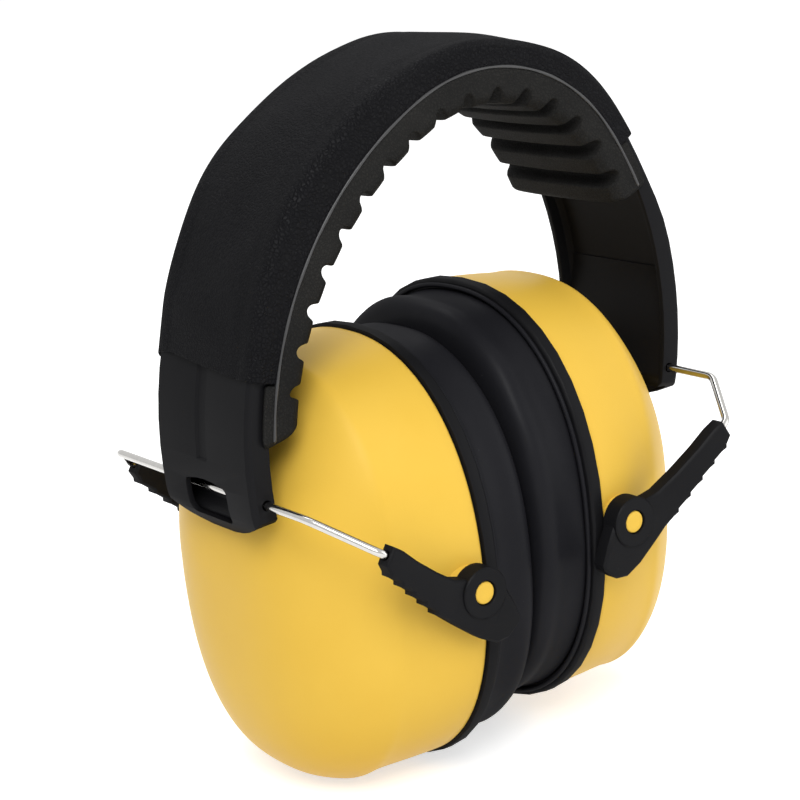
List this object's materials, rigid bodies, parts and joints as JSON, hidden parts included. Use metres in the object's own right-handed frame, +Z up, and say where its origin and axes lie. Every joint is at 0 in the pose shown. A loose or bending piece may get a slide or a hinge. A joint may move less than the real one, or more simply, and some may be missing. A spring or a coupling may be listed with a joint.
{
  "type": "earmuff hearing protector",
  "caption": "Folding earmuff hearing protector: padded headband, sliding arms with wire yokes, and deep oval cups with soft ear cushions.",
  "frame": {"origin": "under the middle of the whole, level with its lowest point", "axes": "+Z up over the head, +X towards the wearer's left ear as drawn (the right muff seen from the front), -Y towards the front"},
  "size_m": [0.1214, 0.1058, 0.1613],
  "materials": {
    "shell_yellow": "satin, moulded",
    "black_plastic": "satin, finely grained",
    "leatherette": "grained, satin",
    "pad_foam": "moulded foam with a fine grain",
    "cushion_vinyl": "smooth soft vinyl",
    "grey_foam": "open-cell foam",
    "spring_steel": "brushed",
    "wire_steel": "bright"
  },
  "bodies": {
    "headband": {"headband_spring": "spring_steel", "headband_cover": "leatherette", "headband_pad": "pad_foam"},
    "slider_left": {"slider_left": "black_plastic"},
    "yoke_left": {"yoke_wire_left": "wire_steel", "front_arm_left": "black_plastic", "rear_arm_left": "black_plastic"},
    "cup_left": {"cup_shell_left": "shell_yellow", "cushion_plate_left": "black_plastic", "ear_cushion_left": "cushion_vinyl", "cushion_foam_left": "grey_foam", "cup_liner_left": "grey_foam"},
    "slider_right": {"slider_right": "black_plastic"},
    "yoke_right": {"yoke_wire_right": "wire_steel", "front_arm_right": "black_plastic", "rear_arm_right": "black_plastic"},
    "cup_right": {"cup_shell_right": "shell_yellow", "cushion_plate_right": "black_plastic", "ear_cushion_right": "cushion_vinyl", "cushion_foam_right": "grey_foam", "cup_liner_right": "grey_foam"}
  },
  "joints": [
    {"name": "slide_left", "type": "hinge", "parent": "headband", "child": "slider_left", "pos_m": [0.0479, 0, 0.0736], "axis": [0, 1, 0], "range_deg": [-7.5, 0], "deforming": ["headband_cover", "headband_pad"]},
    {"name": "slide_right", "type": "hinge", "parent": "headband", "child": "slider_right", "pos_m": [-0.02528, 0, 0.09245], "axis": [0, 1, 0], "range_deg": [-6.7, 0], "deforming": ["headband_cover", "headband_pad"]},
    {"name": "fold_left", "type": "hinge", "parent": "slider_left", "child": "yoke_left", "pos_m": [-0.05709, 0, 0.07353], "axis": [0, 1, 0], "range_deg": [-30, 5]},
    {"name": "fold_right", "type": "hinge", "parent": "slider_right", "child": "yoke_right", "pos_m": [0.05599, 0, 0.07797], "axis": [0, 1, 0], "range_deg": [-2.5, 30]},
    {"name": "tilt_left", "type": "hinge", "parent": "yoke_left", "child": "cup_left", "pos_m": [-0.02169, 0, 0.0502], "axis": [0, 1, 0], "range_deg": [-5, 30], "deforming": ["ear_cushion_left", "cushion_foam_left"]},
    {"name": "tilt_right", "type": "hinge", "parent": "yoke_right", "child": "cup_right", "pos_m": [0.02061, 0, 0.05461], "axis": [0, 1, 0], "range_deg": [-30, 2.5], "deforming": ["ear_cushion_right", "cushion_foam_right"]}
  ],
  "couplings": [
    {"joint": "tilt_left", "follows": "fold_left", "ratio": -1},
    {"joint": "tilt_right", "follows": "fold_right", "ratio": -1}
  ]
}
